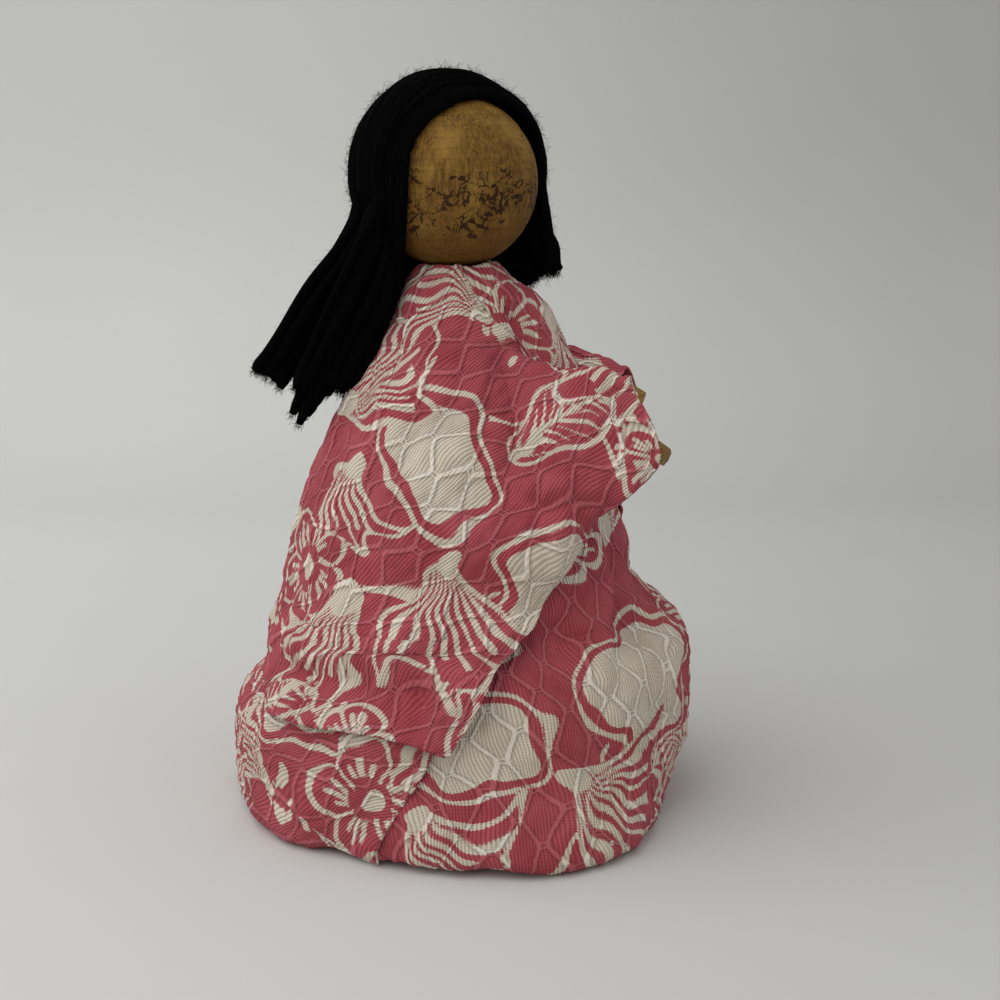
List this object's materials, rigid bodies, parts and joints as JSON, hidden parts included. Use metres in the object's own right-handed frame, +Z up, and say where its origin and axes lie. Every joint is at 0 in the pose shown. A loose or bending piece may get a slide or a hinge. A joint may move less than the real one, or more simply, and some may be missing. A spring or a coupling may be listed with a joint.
{
  "type": "folk art doll",
  "caption": "Standing cloth doll: a blank cork ball head with black yarn hair on a stuffed cone, dressed in pink and cream printed cotton with wide sleeves over wooden arms.",
  "frame": {"origin": "middle of the flat underside of the card disc, on the floor", "axes": "+Z up, the arms reach out towards -Y, the doll's right side is -X"},
  "size_m": [0.1204, 0.122, 0.1865],
  "materials": {
    "cork": "bare cork, dry and matt, with dark cracks and faint bands",
    "wood": "bare whittled wood, matt",
    "core": "plain stuffed cotton, hidden under the dress",
    "card": "plain grey-brown card, matt",
    "cotton": "pink and cream printed cotton with raised honeycomb threads, matt",
    "yarn": "black wool yarn, matt and hairy"
  },
  "bodies": {
    "root": {"base_disc": "card", "body_core": "core", "neck_peg": "wood", "right_arm": "wood", "left_arm": "wood", "skirt": "cotton", "yoke": "cotton", "right_sleeve": "cotton", "left_sleeve": "cotton"},
    "head": {"cork_head": "cork", "hair_hood": "yarn", "tail_lock_1": "yarn", "tail_lock_2": "yarn", "tail_lock_3": "yarn", "tail_lock_4": "yarn", "tail_lock_5": "yarn", "tail_lock_6": "yarn", "tuft_lock_1": "yarn", "tuft_lock_2": "yarn", "tuft_lock_3": "yarn"}
  },
  "joints": [
    {"name": "head_turn", "type": "hinge", "parent": "root", "child": "head", "pos_m": [-0.0007, 0.0015, 0.14], "axis": [0, 0, 1], "range_deg": [-20, 25]}
  ]
}
